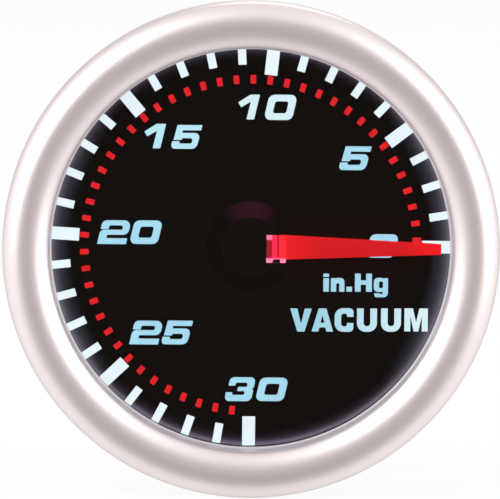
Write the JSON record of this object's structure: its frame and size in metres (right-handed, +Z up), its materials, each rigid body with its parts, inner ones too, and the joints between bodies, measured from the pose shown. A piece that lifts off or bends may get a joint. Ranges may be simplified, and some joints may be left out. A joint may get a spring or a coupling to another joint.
{
  "type": "vacuum gauge",
  "caption": "Round panel-mounted vacuum gauge with a satin bezel, smoked lens, lit scale, geared Bourdon-tube movement, hose nipple, lamp holder and clamp bracket.",
  "frame": {"origin": "on the gauge's axis, in the plane where the bezel meets the panel", "axes": "the face looks along -Y, the hose nipple points along +Y, +Z is up and +X is to the right as one reads the dial"},
  "size_m": [0.06, 0.0627, 0.06],
  "materials": {
    "bezel_metal": "satin anodised silver",
    "smoked_lens": "smoked, polished",
    "black_rubber": "smooth",
    "black_plastic": "matte black",
    "white_inlay": "translucent white, lit from behind",
    "red_inlay": "translucent red, lit from behind",
    "clear_plastic": "clear moulded plastic",
    "white_plastic": "white reflector plastic",
    "case_steel": "zinc-plated, satin",
    "brass": "turned",
    "bright_steel": "bright zinc",
    "spring_bronze": "drawn spring strip",
    "blued_steel": "blued",
    "pointer_clear": "clear pink moulding",
    "pointer_red": "red foil, lit",
    "bulb_glass": "clear bulb"
  },
  "bodies": {
    "housing": {"bezel": "bezel_metal", "lens": "smoked_lens", "lens_gasket": "black_rubber", "dial_spacer": "black_plastic", "dial_plate": "black_plastic", "tick_inlay": "white_inlay", "dot_inlay": "red_inlay", "light_guide": "clear_plastic", "reflector": "white_plastic", "case": "case_steel", "socket_block": "brass", "socket_washer": "bright_steel", "socket_nut": "brass", "hose_nipple": "brass", "studs": "bright_steel", "back_plate": "brass", "front_plate": "brass", "pillars": "brass", "plate_screws": "bright_steel", "movement_screws": "bright_steel", "stop_pins": "bright_steel", "hairspring_stud": "brass", "hairspring": "blued_steel", "bourdon_tube": "spring_bronze"},
    "pointer": {"pinion": "bright_steel", "pinion_arbor": "bright_steel", "hairspring_collet": "brass", "pointer_bush": "brass", "pointer": "pointer_clear", "pointer_foil": "pointer_red", "hub_cap": "black_plastic"},
    "sector": {"sector_gear": "brass", "sector_arbor": "bright_steel", "tail_pin": "bright_steel"},
    "link": {"link": "brass"},
    "tube_tip": {"tube_tip": "brass", "tip_pin": "bright_steel"},
    "bracket": {"clamp_bracket": "bright_steel", "lock_washers": "bright_steel"},
    "left_nut": {"thumb_nut_left": "brass"},
    "right_nut": {"thumb_nut_right": "brass"},
    "lamp": {"lamp_holder": "black_plastic", "lamp_bulb": "bulb_glass", "lamp_terminals": "bright_steel"}
  },
  "joints": [
    {"name": "pointer_turn", "type": "hinge", "parent": "housing", "child": "pointer", "pos_m": [0, 0, 0], "axis": [0, -1, 0], "range_deg": [0, 270], "stiffness_Nm_per_rad": 0.00002, "springref_deg": -17.19, "deforming": ["hairspring", "bourdon_tube"]},
    {"name": "sector_turn", "type": "hinge", "parent": "housing", "child": "sector", "pos_m": [0.012, 0, 0], "axis": [0, -1, 0], "range_deg": [-38.57, 0]},
    {"name": "link_turn", "type": "hinge", "parent": "sector", "child": "link", "pos_m": [0.01672, 0, 0.00165], "axis": [0, -1, 0], "range_deg": [0, 38.57]},
    {"name": "tube_tip_move", "type": "slide", "parent": "housing", "child": "tube_tip", "axis": [0, 0, -1], "range_m": [0, 0.0033]},
    {"name": "bracket_slide", "type": "slide", "parent": "housing", "child": "bracket", "axis": [0, -1, 0], "range_m": [-0.005, 0.005]},
    {"name": "left_nut_turn", "type": "hinge", "parent": "bracket", "child": "left_nut", "pos_m": [-0.0175, 0, 0], "axis": [0, -1, 0], "range_deg": [-2571.5, 2571.5]},
    {"name": "right_nut_turn", "type": "hinge", "parent": "bracket", "child": "right_nut", "pos_m": [0.0175, 0, 0], "axis": [0, -1, 0], "range_deg": [-2571.5, 2571.5]},
    {"name": "lamp_twist", "type": "hinge", "parent": "housing", "child": "lamp", "pos_m": [0, 0, 0.01701], "axis": [0, -1, 0], "range_deg": [0, 60]}
  ],
  "couplings": [
    {"joint": "sector_turn", "follows": "pointer_turn", "ratio": -0.14286},
    {"joint": "link_turn", "follows": "pointer_turn", "ratio": 0.14286},
    {"joint": "tube_tip_move", "follows": "pointer_turn", "m_per_rad": 0.00070087},
    {"joint": "left_nut_turn", "follows": "bracket_slide", "rad_per_m": 8976},
    {"joint": "right_nut_turn", "follows": "bracket_slide", "rad_per_m": 8976}
  ]
}
